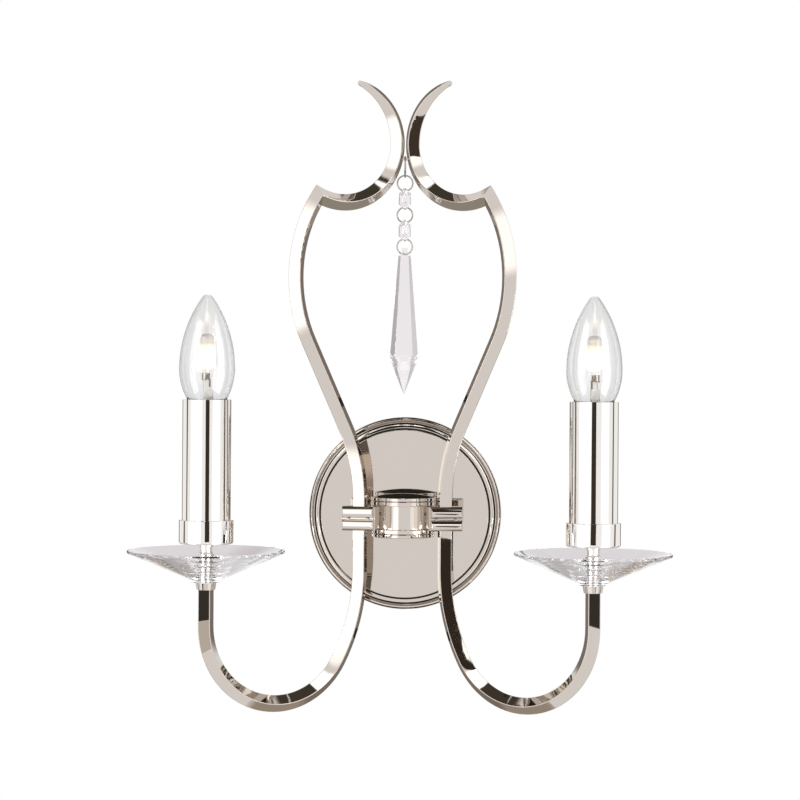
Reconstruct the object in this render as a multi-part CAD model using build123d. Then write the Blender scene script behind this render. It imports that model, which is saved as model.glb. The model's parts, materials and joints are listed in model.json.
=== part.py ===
from build123d import *
from math import atan2, cos, degrees, radians, sin, sqrt
import os

# Two-armed candle wall light with a crystal drop, in millimetres.
# The wall is the plane Y = 0, the room lies towards -Y, X runs to the viewer's right and Z is up.
# The origin is the centre of the back plate on the wall, level with the hub.

# Layout
hub_reach = 46.0          # wall to the hub's upright axis
arm_turn = 33.0           # each arm's upright plane, turned forward of the wall
arm_reach = 32.7          # hub axis to the bar where the clamp holds it
candle_reach = 143.0      # hub axis to the candle axis

# Square bar of the arms, set on edge
bar_width = 7.8
bar_wall = 1.0
bar_edge = 0.5            # rounding of the bar's long edges

# Centre line of an arm, from the candle seat round to the shoulder
arm_end_level = -41.5
bend_level = -115.7       # lowest point of the centre line
bend_step = 1.7           # outer bend's radius less the inner bend's
lean_turn = 30.0          # lean of the inner leg where the two inner curves meet
lean_shift = 15.4         # sideways run of the long curve up to the hub
flare_level = 12.0        # where the arm starts to swing outward above the hub
flare_bend = 105.0
flare_turn = 26.5
flare_run = 61.0

# Crescent horns on the shoulders
crescent_bend = 42.0      # lower part of the horn's curve
horn_bend = 39.0          # upper part of the curve, up to the tip
horn_turn = 45.0          # where the upper part starts, past the bottom of the curve
crescent_gap = 5.9        # hub axis to the nearest point of the horn's centre line
crescent_level = 243.2    # height of that nearest point
shoulder_turn = 24.5      # where the horn starts, from the bottom of its circle
taper_turn = 95.0         # where the taper starts, on the other side of the bottom
tip_turn = 166.0
tip_width = 2.4
tip_edge = 0.3
taper_steps = 6
taper_power = 1.8         # above 1, most of the taper is near the tip
mitre_spare = 12.0        # length past the mitre that is cut away

# Hub drum
waist_radius = 18.0
waist_wall = 4.0
waist_height = 15.0
cap_height = 5.5
top_cap_radius = 21.2
top_cap_rise = 2.3        # crown of the upper cap's top
bottom_cap_radius = 20.4
cap_groove = 0.8
cap_groove_drop = 2.0
cap_round = 0.6
register_depth = 0.6
tie_radius = 2.5
tie_head_radius = 4.6
tie_head_height = 2.4
tie_grip = 3.5            # thread length in the top cap

# Arm clamps
clamp_width = 20.6
clamp_height = 15.6
strap_base = 1.3
reed_rise = 2.5
reed_land = 0.6          # flat between the reeds
strap_end_round = 2.0
saddle_width = 22.0
saddle_back = 12.5        # bar axis to the back of the saddle
clamp_screw_radius = 1.25
clamp_screw_head = 2.3
clamp_screw_pitch = 6.4   # bar axis to each clamp screw
clamp_screw_level = -0.7
clamp_screw_grip = 2.4
saddle_screw_radius = 1.5
saddle_screw_head = 2.7
saddle_screw_head_height = 2.2
saddle_screw_level = -4.0
saddle_screw_grip = 7.5
screw_seat_depth = 0.4    # depth of the flat cut in the drum's bore for a screw head

# Back plate, a spun shell
plate_radius = 64.5
plate_depth = 13.0
plate_wall = 1.2
rim_depth = 4.2
rim_round = 2.0
rim_width = 3.2           # edge of the plate to its groove
rim_land = 0.2
groove_depth = 5.2
cove_depth = 11.4
cove_round = 3.6
cove_width = 5.4          # groove to the raised disc
disc_slope = 1.4          # width of the disc's sloped edge
disc_round = 0.5

# Hub stem through the back plate
stem_radius = 5.0
stem_bore = 3.7
stem_tail = 1.0           # stem behind the nut
collar_radius = 7.5
nut_flats = 14.0
nut_height = 3.6

# Wall bracket
bracket_gap = 1.3         # end of the bracket to the inside of the plate's rim
bracket_width = 20.0
bracket_wall = 1.5
bracket_tab = 3.7
slot_spacing = 70.0
slot_length = 14.0
slot_width = 5.0
cable_hole_radius = 9.0
rim_screw_radius = 1.25
rim_screw_drop = 2.1      # wall to the rim screws
earth_screw_radius = 2.0
earth_screw_head = 4.0
earth_screw_head_height = 2.6
earth_screw_place = 19.0

# Terminal block on the inside of the back plate
block_length = 26.0
block_height = 14.0
block_depth = 9.0
block_level = 22.0
block_hole_radius = 1.9
block_ways = 3
block_pitch = 8.0

# Candle stack on the end of an arm
seat_height = 4.7
seat_top_radius = 6.6
seat_foot_radius = 5.7
seat_floor = 1.0
nipple_radius = 3.0
nipple_bore = 1.7
nipple_length = 41.0
dish_radius = 49.0
dish_height = 19.8
dish_floor = 7.2
dish_foot_radius = 9.2
dish_foot_height = 1.3
dish_rim = 1.5
dish_lip = 1.6
dish_well_radius = 11.5
dish_well_round = 2.0
dish_edge = 0.4
spindle_height = 16.6
spindle_foot_radius = 4.5
spindle_neck_radius = 3.8
spindle_ball_radius = 5.0
spindle_foot_height = 2.0
spindle_edge = 0.5
cup_radius = 17.0
cup_height = 15.0
cup_floor = 2.6
cup_round = 1.4
cup_lip_round = 0.5
tube_radius = 15.2
tube_wall = 0.9
tube_length = 86.9
stack_nut_flats = 11.0
stack_nut_height = 3.4
holder_leg_radius = 7.0
holder_radius = 12.4
holder_body = 44.0
holder_bore = 2.2
holder_round = 1.0

# Candle bulb with a small screw cap
bulb_radius = 17.4
bulb_wall = 0.7
belly_level = 19.0        # widest point above the tube's mouth
ogive_bend = 78.0
bulb_tip = 4.0
shoulder_bend = 38.0      # curve below the widest point
neck_flare = 30.0         # lean of the glass between neck and curve
neck_radius = 8.6
neck_run = 3.0
cap_drop = 9.5            # tube's mouth to the top of the bulb's cap
bulb_cap_radius = 7.0
bulb_cap_length = 19.0
cap_collar_height = 3.0
cap_cone = 3.0
contact_radius = 3.0
contact_height = 2.2
contact_round = 0.6
capsule_radius = 4.8
capsule_level = 20.0      # capsule's foot above the tube's mouth
capsule_length = 21.0
capsule_foot_round = 1.5
capsule_top_round = 3.8
pinch_width = 6.4
pinch_depth = 2.4
pinch_height = 8.0
mount_radius = 4.2
mount_height = 9.0
mount_round = 1.0
wire_radius = 0.5

# Leads inside the light
lead_radius = 0.9
lead_level = 2.4
lead_offset = 1.1         # each lead to one side of the stem's axis
lead_hole_radius = 1.4
lead_rear = 5.0           # wall to the lead where it rises to the terminal block
lead_spread = 9.0         # hub axis to where the leads have parted
lead_bend = 5.0
lead_corner = 2.5
lead_arm_bend = 2.8

# Chain and crystal drop on the hub axis
pin_radius = 1.0
pin_length = 11.0
pin_below = 9.6           # nearest point of the horns to the pin
ring_wire = 0.5
hook_bend = 6.8
ring_bend = 5.0
link_gap = 0.1
bead_across = 14.0
bead_girdle = 0.8
bead_thickness = 8.0
bead_slope = 45.0
bead_pitch = 10.9
bead_hole = 0.9
hole_slack = 0.1
drop_length = 95.0
drop_top_width = 8.0
drop_top_depth = 6.0
drop_width = 18.5
drop_depth = 13.0
drop_point_height = 23.0
drop_face = 0.64          # share of the width in the front face
drop_edge = 0.45          # share of the depth in the edge face
drop_cut = 1.0            # depth of the kite facets on the widest part's corners
drop_cut_lean = 13.0      # their slope, inward to the point
lug_height = 5.0
lug_width = 4.0
lug_depth = 5.0
point_width = 0.5

# Driver slots in the screw heads
driver_slot = 0.8
driver_depth = 0.7

# Clearances
fit = 0.05
slip = 0.3

half_waist = waist_height / 2
saddle_height = waist_height - 2 * fit
half_bar = bar_width / 2
bore_radius = waist_radius - waist_wall
disc_back = plate_depth - plate_wall
groove_radius = plate_radius - rim_width
disc_radius = groove_radius - cove_width
bracket_end = plate_radius - plate_wall - bracket_gap
screw_seat = bore_radius + screw_seat_depth
bend_change = crescent_bend - horn_bend
horn_centre = (horn_bend + crescent_gap, crescent_level)
crescent_centre = (
    horn_centre[0] + bend_change * sin(radians(horn_turn)),
    horn_centre[1] + bend_change * cos(radians(horn_turn)),
)
lean_cosine = cos(radians(lean_turn))
lean_bend = lean_shift / (1 - lean_cosine)
bend_span = candle_reach - arm_reach - lean_shift
outer_bend = (bend_span + bend_step * lean_cosine) / (1 + lean_cosine)
inner_bend = outer_bend - bend_step

dish_level = arm_end_level + seat_height
spindle_level = dish_level + dish_floor
cup_level = spindle_level + spindle_height
nut_level = cup_level + cup_floor
holder_level = nut_level + stack_nut_height
tube_top = nut_level + tube_length
nipple_foot = arm_end_level + seat_floor
cap_top = tube_top - cap_drop
cap_foot = cap_top - bulb_cap_length
contact_foot = cap_foot - contact_height
holder_top = cap_top - cap_collar_height - slip
holder_shelf = holder_top - holder_body

pin_level = crescent_level - pin_below
hook_level = pin_level + pin_radius + link_gap + ring_wire - hook_bend
first_ring_level = hook_level - hook_bend + 2 * ring_wire + link_gap - ring_bend
ring_pitch = 2 * ring_bend + bead_pitch - 2 * hole_slack


def turned(*corners):
    """Solid turned about Z from corners (radius, height[, rounding])."""
    points = [(corner[0], 0, corner[1]) for corner in corners]
    rounds = [corner[2] if len(corner) > 2 else 0 for corner in corners]
    outline = FilletPolyline(*points, radius=rounds, close=True)
    return revolve(make_face(outline), Axis.Z)


def rod(radius, low, high):
    """Upright round bar between two heights."""
    return Pos(0, 0, (low + high) / 2) * Cylinder(radius, high - low)


def block(low, high):
    """Box between two opposite corners."""
    size = [b - a for a, b in zip(low, high)]
    middle = [(a + b) / 2 for a, b in zip(low, high)]
    return Pos(*middle) * Box(*size)


def facing_wall(shape):
    """Turns an upright shape so that its top points at the room, along -Y."""
    return Rot(90, 0, 0) * shape


def along_arm(shape):
    """Turns an upright shape so that its top points out along the arm, along +X."""
    return Rot(0, 90, 0) * shape


def slotted(screw, radius, level, inward):
    """Cuts a driver slot into the flat head of an upright screw, from a level inward."""
    ends = sorted((level, level + inward * driver_depth))
    return screw - block((-radius, -driver_slot / 2, ends[0]), (radius, driver_slot / 2, ends[1]))


def group(shapes):
    """Several separate solids in one node."""
    return Compound([solid for shape in shapes for solid in shape.solids()])


def at_hub(shape):
    """Puts a shape that is modelled about the hub's axis in its place."""
    return Pos(0, -hub_reach, 0) * shape


def at_arm(shape):
    """Puts a shape modelled in the arm's own plane on the right of the hub."""
    return at_hub(Rot(0, 0, -arm_turn) * shape)


def at_candle(shape):
    """Puts a shape modelled about the candle's axis on the right arm."""
    return at_arm(Pos(candle_reach, 0, 0) * shape)


def other_side(shape):
    """Mirror image on the left of the hub."""
    return mirror(shape, about=Plane.YZ)


# The clamp's own frame: x towards the hub along the strap, y out through the strap's face
clamp_frame = Plane(origin=(arm_reach, 0, 0), x_dir=(-1, -1, 0), z_dir=(0, 0, 1)).location


def bar_section(width, edge):
    """Square on edge, so that its corners lie in the arm's plane and across it."""
    return Rot(0, 0, 45) * RectangleRounded(width, width, edge)


def lower_curve():
    """Centre line from the candle seat to the hub, as (reach, height)."""
    leg = Line((candle_reach, arm_end_level), (candle_reach, bend_level + outer_bend))
    outer = JernArc(leg @ 1, leg % 1, outer_bend, -90)
    inner = JernArc(outer @ 1, outer % 1, inner_bend, lean_turn - 90)
    upper = JernArc(inner @ 1, inner % 1, lean_bend, -lean_turn)
    return [leg, outer, inner, upper]


def shoulder_point():
    """Where the centre lines of the arm and its horn cross."""
    turn = radians(shoulder_turn)
    reach = crescent_centre[0] + crescent_bend * sin(turn)
    height = crescent_centre[1] - crescent_bend * cos(turn)
    return Vector(reach, height)


def upper_curve(start):
    """Centre line from the hub up to the shoulder, as (reach, height)."""
    rise = Line(start, (arm_reach, flare_level))
    flare = JernArc(rise @ 1, rise % 1, flare_bend, -flare_turn)
    run = Line(flare @ 1, flare @ 1 + (flare % 1) * flare_run)
    bow = TangentArc(run @ 1, shoulder_point(), tangent=run % 1)
    return [rise, flare, run, bow]


lower = lower_curve()
upper = upper_curve(lower[-1] @ 1)
arm_heading = upper[-1] % 1
horn_heading = Vector(cos(radians(shoulder_turn)), sin(radians(shoulder_turn)))
mitre_normal = arm_heading - horn_heading
mitre = Plane(
    origin=(shoulder_point().X, 0, shoulder_point().Y),
    z_dir=(mitre_normal.X, 0, mitre_normal.Y),
)


def arm():
    """Bent square tube from the candle seat, past the hub, to the mitred shoulder."""
    spare = Line(upper[-1] @ 1, upper[-1] @ 1 + arm_heading * mitre_spare)
    path = Plane.XZ * Wire(lower + upper + [spare])
    foot = Pos(candle_reach, 0, arm_end_level)
    tube = sweep(foot * bar_section(bar_width, bar_edge), path=path)
    inside = bar_width - 2 * bar_wall
    tube -= sweep(foot * bar_section(inside, bar_edge), path=path)
    tube = split(tube, bisect_by=mitre, keep=Keep.BOTTOM)
    lead_hole = along_arm(rod(lead_hole_radius, arm_reach - bar_width, arm_reach))
    return tube - Pos(0, 0, lead_level) * lead_hole


def horn_section(turn, width, edge):
    """Section of the horn square to its upper curve, at a turn from the bottom of the circle."""
    angle = radians(turn)
    out = Vector(sin(angle), 0, -cos(angle))
    middle = Vector(horn_centre[0], 0, horn_centre[1]) + out * horn_bend
    plane = Plane(origin=middle, x_dir=out, z_dir=(cos(angle), 0, sin(angle)))
    return plane * bar_section(width, edge)


def crescent():
    """Solid horn: full bar from the shoulder, then a taper to the tip."""
    end = shoulder_point()
    spare = Line(end + horn_heading * mitre_spare, end)
    bend = JernArc(end, horn_heading * -1, crescent_bend, -(shoulder_turn + horn_turn))
    rise = JernArc(bend @ 1, bend % 1, horn_bend, horn_turn - taper_turn)
    start = spare @ 0
    plane = Plane(
        origin=(start.X, 0, start.Y),
        x_dir=(sin(radians(shoulder_turn)), 0, -cos(radians(shoulder_turn))),
        z_dir=(-horn_heading.X, 0, -horn_heading.Y),
    )
    path = Plane.XZ * Wire([spare, bend, rise])
    full = sweep(plane * bar_section(bar_width, bar_edge), path=path)
    full = split(full, bisect_by=mitre, keep=Keep.TOP)
    sections = []
    for step in range(taper_steps + 1):
        share = step / taper_steps
        turn = -taper_turn - (tip_turn - taper_turn) * share
        width = bar_width + (tip_width - bar_width) * share**taper_power
        edge = bar_edge + (tip_edge - bar_edge) * share**taper_power
        sections.append(horn_section(turn, width, edge))
    return full + loft(sections)


def hub_body():
    """Waist of the drum, bored for the leads, the arm screws and the stem."""
    body = rod(waist_radius, -half_waist, half_waist) - rod(bore_radius, -half_waist, half_waist)
    body -= facing_wall(rod(stem_radius + fit, -waist_radius - slip, 0))
    for turn in (-arm_turn, arm_turn - 180):
        turned_to_arm = Rot(0, 0, turn)
        at_lead = turned_to_arm * Pos(0, 0, lead_level)
        at_screw = turned_to_arm * Pos(0, 0, saddle_screw_level)
        body -= at_lead * along_arm(rod(lead_hole_radius, 0, waist_radius + slip))
        body -= at_screw * along_arm(rod(saddle_screw_radius + fit, 0, waist_radius + slip))
        body -= at_screw * along_arm(rod(saddle_screw_head + slip, 0, screw_seat))
    return body


def saddle_screw():
    """Cheese-headed screw from inside the drum, out into the saddle."""
    head = rod(saddle_screw_head, screw_seat - saddle_screw_head_height, screw_seat)
    shank = rod(saddle_screw_radius, screw_seat, waist_radius + saddle_screw_grip)
    return Pos(0, 0, saddle_screw_level) * along_arm(head + shank)


def hub_cap(radius):
    """Turned cap with a grooved edge and a shallow register in the drum's bore, top up."""
    top = half_waist + cap_height
    groove = top - cap_groove_drop
    bore = bore_radius - fit
    return turned(
        (0, half_waist - register_depth),
        (bore, half_waist - register_depth),
        (bore, half_waist),
        (radius, half_waist, cap_round),
        (radius, groove - cap_groove),
        (radius - cap_groove, groove - cap_groove / 2),
        (radius, groove),
        (radius, top, cap_round),
        (0, top),
    )


def hub_top_cap():
    """Upper cap with a crowned top, tapped from below for the tie screw."""
    hole = rod(tie_radius + fit, 0, half_waist + tie_grip)
    top = half_waist + cap_height
    edge = top_cap_radius - cap_round
    ball = (edge**2 + top_cap_rise**2) / (2 * top_cap_rise)
    crown = Pos(0, 0, top + top_cap_rise - ball) * Sphere(ball)
    crown &= rod(edge, top - cap_round, top + top_cap_rise)
    return hub_cap(top_cap_radius) + crown - hole


def hub_bottom_cap():
    """Lower cap, recessed for the tie screw's head."""
    cap = Rot(180, 0, 0) * hub_cap(bottom_cap_radius)
    foot = -half_waist - cap_height
    cap -= rod(tie_radius + fit, foot, 0)
    return cap - rod(tie_head_radius + slip, foot, foot + tie_head_height)


def hub_tie_screw():
    """Screw that pulls the two caps onto the drum."""
    foot = -half_waist - cap_height
    head = rod(tie_head_radius, foot, foot + tie_head_height)
    screw = head + rod(tie_radius, foot + tie_head_height, half_waist + tie_grip)
    return slotted(screw, tie_head_radius, foot, 1)


def clamp_strap():
    """Front strap of the clamp, with two half-round reeds along it."""
    half = clamp_height / 2
    back = half_bar
    base = back + strap_base
    crest = base + reed_rise
    land = reed_land / 2
    middle = -(half + land) / 2
    outline = [
        Line((base, half), (back, half)),
        Line((back, half), (back, -half)),
        Line((back, -half), (base, -half)),
        ThreePointArc((base, -half), (crest, middle), (base, -land)),
        Line((base, -land), (base, land)),
        ThreePointArc((base, land), (crest, -middle), (base, half)),
    ]
    face = Plane.YZ * make_face(Wire(outline))
    strap = Pos(-clamp_width / 2, 0, 0) * extrude(face, clamp_width, dir=(1, 0, 0))
    plan = FilletPolyline(
        (-clamp_width / 2, back),
        (clamp_width / 2, back),
        (clamp_width / 2, crest + slip),
        (-clamp_width / 2, crest + slip),
        radius=[0, 0, strap_end_round, strap_end_round],
        close=True,
    )
    strap &= extrude(make_face(plan), clamp_height, both=True)
    for place in (-clamp_screw_pitch, clamp_screw_pitch):
        hole = Pos(place, 0, clamp_screw_level) * facing_wall(
            rod(clamp_screw_radius, -back - clamp_screw_grip, -back)
        )
        strap -= hole
    return clamp_frame * strap


def clamp_screw():
    """Countersunk screw, upright, its head at the back of the saddle and its tip in the strap."""
    head_height = clamp_screw_head - clamp_screw_radius
    tip = half_bar + clamp_screw_grip
    return turned(
        (0, -saddle_back),
        (clamp_screw_head, -saddle_back),
        (clamp_screw_radius, head_height - saddle_back),
        (clamp_screw_radius, tip),
        (0, tip),
    )


def in_clamp(screw):
    """The two places of a screw in one clamp."""
    lying = Rot(-90, 0, 0) * screw
    places = (-clamp_screw_pitch, clamp_screw_pitch)
    return [clamp_frame * (Pos(place, 0, clamp_screw_level) * lying) for place in places]


def arm_saddle():
    """Block between drum and bar, grooved for the bar and coped to the drum's waist."""
    half = saddle_height / 2
    groove = half_bar + fit
    body = block((-saddle_width / 2, -saddle_back, -half), (saddle_width / 2, half_bar, half))
    body -= block((-groove, -groove, -half), (groove, half_bar, half))
    body = clamp_frame * body
    for screw in in_clamp(clamp_screw()):
        body -= screw
    body -= rod(waist_radius, -half, half)
    body -= saddle_screw()
    lead_hole = along_arm(rod(lead_hole_radius, waist_radius - slip, arm_reach))
    return body - Pos(0, 0, lead_level) * lead_hole


def back_plate():
    """Spun shell: round rim, groove, cove and flat disc, open at the back."""
    outer = turned(
        (stem_radius + slip, 0),
        (plate_radius, 0),
        (plate_radius, rim_depth + rim_round, rim_round),
        (plate_radius - rim_round - rim_land, rim_depth + rim_round),
        (groove_radius, groove_depth),
        (groove_radius, cove_depth, cove_round),
        (disc_radius + disc_slope, cove_depth),
        (disc_radius, plate_depth, disc_round),
        (stem_radius + slip, plate_depth),
    )
    step = groove_depth - plate_wall
    inner = turned(
        (0, -plate_wall),
        (plate_radius - plate_wall, -plate_wall),
        (plate_radius - plate_wall, step),
        (groove_radius - plate_wall, step),
        (groove_radius - plate_wall, cove_depth - cove_round),
        (disc_radius - plate_wall, disc_back),
        (0, disc_back),
    )
    shell = facing_wall(outer - inner)
    across = Pos(0, -rim_screw_drop, 0) * along_arm(rod(rim_screw_radius + fit, -plate_radius, plate_radius))
    return shell - across


def wall_bracket():
    """Strap with slots for the wall screws, a cable hole and two tapped tabs."""
    half = bracket_width / 2
    end = bracket_end
    strap = block((-end, -bracket_wall, -half), (end, 0, half))
    for side in (-1, 1):
        inner = side * (end - bracket_wall)
        tab = block(
            (min(inner, side * end), -bracket_tab, -half), (max(inner, side * end), 0, half)
        )
        strap += tab
        slot = Pos(side * slot_spacing / 2, 0, 0) * Rot(90, 0, 0) * SlotOverall(slot_length, slot_width)
        strap -= extrude(slot, bracket_tab, both=True)
    strap -= facing_wall(rod(cable_hole_radius, 0, bracket_wall))
    strap -= Pos(0, -rim_screw_drop, 0) * along_arm(rod(rim_screw_radius, -end, end))
    return strap - Pos(-earth_screw_place, 0, 0) * facing_wall(rod(earth_screw_radius, 0, bracket_wall))


def rim_screws():
    """Two grub screws through the plate's rim into the bracket's tabs."""
    screw = along_arm(rod(rim_screw_radius, bracket_end - bracket_wall, plate_radius - fit))
    return [Pos(0, -rim_screw_drop, 0) * turn * screw for turn in (Rot(0, 0, 0), Rot(0, 180, 0))]


def earth_screw():
    """Earth terminal screw on the bracket."""
    head = rod(earth_screw_head, bracket_wall, bracket_wall + earth_screw_head_height)
    shank = rod(earth_screw_radius, 0, bracket_wall)
    screw = slotted(head + shank, earth_screw_head, bracket_wall + earth_screw_head_height, -1)
    return Pos(-earth_screw_place, 0, 0) * facing_wall(screw)


def terminal_block():
    """Connector block against the inside of the back plate."""
    body = block(
        (-block_length / 2, -disc_back, block_level),
        (block_length / 2, block_depth - disc_back, block_level + block_height),
    )
    middle = block_depth / 2 - disc_back
    for way in range(block_ways):
        place = (way - (block_ways - 1) / 2) * block_pitch
        hole = rod(block_hole_radius, block_level + block_height / 2, block_level + block_height)
        body -= Pos(place, middle, 0) * hole
    return body


def hub_stem():
    """Threaded tube from behind the back plate into the drum."""
    rear = disc_back - nut_height - stem_tail
    front = hub_reach - bore_radius
    return facing_wall(rod(stem_radius, rear, front) - rod(stem_bore, rear, front))


def stem_nut():
    """Hexagon nut that holds the stem in the back plate."""
    nut = extrude(RegularPolygon(nut_flats / 2, 6, major_radius=False), nut_height)
    nut = Pos(0, 0, disc_back - nut_height) * nut
    return facing_wall(nut - rod(stem_radius, 0, disc_back))


def stem_collar():
    """Plain spacer on the stem, coped to the drum at its front."""
    spacer = rod(collar_radius, plate_depth, hub_reach)
    spacer -= rod(stem_radius + fit, plate_depth, hub_reach)
    return facing_wall(spacer) - at_hub(rod(waist_radius, -waist_radius, waist_radius))


def dish_seat():
    """Flared seat brazed on the end of the arm, tapped for the threaded tube."""
    top = dish_level
    seat = turned((0, arm_end_level), (seat_foot_radius, arm_end_level), (seat_top_radius, top), (0, top))
    seat -= rod(nipple_bore, arm_end_level, top)
    return seat - rod(nipple_radius, nipple_foot, top)


def holder_nipple():
    """Threaded tube that the dish, spindle, cup and lampholder are stacked on."""
    top = nipple_foot + nipple_length
    return rod(nipple_radius, nipple_foot, top) - rod(nipple_bore, nipple_foot, top)


def glass_dish():
    """Thick conical drip dish with a bored foot."""
    hole = nipple_radius + slip
    rim = dish_level + dish_height
    foot = dish_level + dish_foot_height
    return turned(
        (hole, dish_level),
        (dish_foot_radius, dish_level, dish_edge),
        (dish_foot_radius, foot),
        (dish_radius, rim - dish_rim, dish_edge),
        (dish_radius, rim, dish_edge),
        (dish_radius - dish_lip, rim, dish_edge),
        (dish_well_radius, spindle_level, dish_well_round),
        (hole, spindle_level),
    )


def spindle():
    """Turned spacer with a ball between dish and cup."""
    hole = nipple_radius + fit
    foot = spindle_level
    neck = spindle_level + spindle_foot_height
    top = cup_level
    shape = turned(
        (hole, foot),
        (spindle_foot_radius, foot, spindle_edge),
        (spindle_foot_radius, neck, spindle_edge),
        (spindle_neck_radius, neck),
        (spindle_neck_radius, top - spindle_foot_height),
        (spindle_foot_radius, top - spindle_foot_height, spindle_edge),
        (spindle_foot_radius, top),
        (hole, top),
    )
    shape += Pos(0, 0, (foot + top) / 2) * Sphere(spindle_ball_radius)
    shape -= rod(hole, foot, top)
    return shape & block((-dish_radius, -dish_radius, foot), (dish_radius, dish_radius, top))


def candle_cup():
    """Cup that holds the candle tube, its lower edge rounded."""
    top = cup_level + cup_height
    inside = tube_radius + fit
    return turned(
        (nipple_radius + fit, cup_level),
        (cup_radius, cup_level, cup_round),
        (cup_radius, top, cup_lip_round),
        (inside, top),
        (inside, nut_level),
        (nipple_radius + fit, nut_level),
    )


def candle_tube():
    """Plain tube that dresses the lampholder as a candle."""
    inside = tube_radius - tube_wall
    return rod(tube_radius, nut_level, tube_top) - rod(inside, nut_level, tube_top)


def stack_nut():
    """Hexagon nut that clamps the stack on the threaded tube."""
    nut = extrude(RegularPolygon(stack_nut_flats / 2, 6, major_radius=False), stack_nut_height)
    return Pos(0, 0, nut_level) * nut - rod(nipple_radius, nut_level, holder_level)


def lampholder():
    """Candle lampholder: screwed leg below, socket for the bulb above."""
    leg_top = holder_shelf - slip
    body = turned(
        (0, holder_level),
        (holder_leg_radius, holder_level),
        (holder_leg_radius, holder_shelf),
        (holder_radius, holder_shelf, holder_round),
        (holder_radius, holder_top, holder_round),
        (0, holder_top),
    )
    body -= rod(nipple_radius, holder_level, nipple_foot + nipple_length)
    body -= rod(holder_bore, holder_level, leg_top)
    return body - rod(bulb_cap_radius + slip, contact_foot, holder_top)


def bulb_outline(inset):
    """Half outline of the glass, drawn in from its outside by an inset."""
    belly = tube_top + belly_level
    widest = bulb_radius - inset
    ogive = ogive_bend - inset
    tip = bulb_tip - inset
    ogive_centre = widest - ogive
    tip_level = belly + sqrt((ogive - tip) ** 2 - ogive_centre**2)
    lean = (tip_level - belly) / (ogive - tip)
    touch = (ogive_centre + ogive * sqrt(1 - lean**2), belly + ogive * lean)
    low_bend = shoulder_bend - inset
    neck = neck_radius - inset
    neck_level = cap_top + neck_run
    flare = radians(neck_flare)
    knee = (widest - low_bend + low_bend * cos(flare), belly - low_bend * sin(flare))
    return [
        Line((0, cap_top), (neck, cap_top)),
        Line((neck, cap_top), (neck, neck_level)),
        Line((neck, neck_level), knee),
        TangentArc(knee, (widest, belly), tangent=(sin(flare), cos(flare))),
        TangentArc((widest, belly), touch, tangent=(0, 1)),
        TangentArc(touch, (0, tip_level + tip), tangent=(-lean, sqrt(1 - lean**2))),
        Line((0, tip_level + tip), (0, cap_top)),
    ]


def bulb_glass():
    """Thin clear envelope, open at the cap."""
    outer = revolve(Plane.XZ * make_face(Wire(bulb_outline(0))), Axis.Z)
    return outer - revolve(Plane.XZ * make_face(Wire(bulb_outline(bulb_wall))), Axis.Z)


def bulb_cap():
    """Screw cap of the bulb, its thread left plain."""
    collar = cap_top - cap_collar_height
    return turned(
        (0, cap_foot),
        (contact_radius, cap_foot),
        (bulb_cap_radius, cap_foot + cap_cone),
        (bulb_cap_radius, collar),
        (neck_radius, collar),
        (neck_radius, cap_top),
        (0, cap_top),
    )


def bulb_contact():
    """Centre contact under the cap."""
    return turned(
        (0, contact_foot),
        (contact_radius, contact_foot, contact_round),
        (contact_radius, cap_foot),
        (0, cap_foot),
    )


def bulb_mount():
    """White support on the cap with the two wires that carry the burner."""
    top = cap_top + mount_height
    foot = tube_top + capsule_level - pinch_height
    body = turned((0, cap_top), (mount_radius, cap_top), (mount_radius, top, mount_round), (0, top))
    for side in (-1, 1):
        body += Pos(side * pinch_width / 4, 0, 0) * rod(wire_radius, top - mount_height / 2, foot)
    return body


def bulb_capsule():
    """Halogen burner: small glass capsule on its flat pinch."""
    foot = tube_top + capsule_level
    top = foot + capsule_length
    body = turned(
        (0, foot),
        (capsule_radius, foot, capsule_foot_round),
        (capsule_radius, top, capsule_top_round),
        (0, top),
    )
    return body + block(
        (-pinch_width / 2, -pinch_depth / 2, foot - pinch_height),
        (pinch_width / 2, pinch_depth / 2, foot + pinch_depth / 2),
    )


def lamp_lead():
    """Lead from the terminal block through stem, drum and arm to the lampholder."""
    turn = radians(arm_turn)

    def on_arm(reach):
        return (reach * cos(turn), -hub_reach - reach * sin(turn), lead_level)

    corner = lead_level - bar_width
    parting = lead_spread - hub_reach
    entry = FilletPolyline(
        (lead_offset, -lead_rear, block_level),
        (lead_offset, -lead_rear, lead_level),
        (lead_offset, parting, lead_level),
        on_arm(lead_spread),
        on_arm(arm_reach),
        (*on_arm(arm_reach)[:2], corner),
        radius=[lead_corner, lead_bend, lead_bend, lead_arm_bend],
    )
    top = lower[-1] @ 1
    inside_arm = [Line((arm_reach, corner), (top.X, top.Y))]
    for edge in reversed(lower):
        inside_arm.append(edge)
    foot = lower[0] @ 0
    inside_arm.append(Line((foot.X, foot.Y), (candle_reach, holder_shelf - slip)))
    run = at_arm(Plane.XZ * Wire(inside_arm))
    path = Wire(list(entry.edges()) + list(run.edges()))
    start = Plane(origin=(lead_offset, -lead_rear, block_level), z_dir=(0, 0, -1))
    return sweep(start * Circle(lead_radius), path=path)


def drop_pin():
    """Cross pin between the two horns that the chain hangs from."""
    return at_hub(Pos(0, -pin_drop, pin_level) * Rot(0, 90, 0) * Cylinder(pin_radius, pin_length))


pin_horn_reach = horn_centre[0] - sqrt(horn_bend**2 - pin_below**2)
pin_drop = pin_horn_reach * sin(radians(arm_turn)) / 2


def on_chain(shape, level):
    """Puts a link of the chain on its upright line in front of the hub axis."""
    return at_hub(Pos(0, -pin_drop, level) * shape)


def hook_ring():
    """Ring on the pin, edge to the viewer."""
    return on_chain(Rot(0, 90, 0) * Torus(hook_bend, ring_wire), hook_level)


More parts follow.
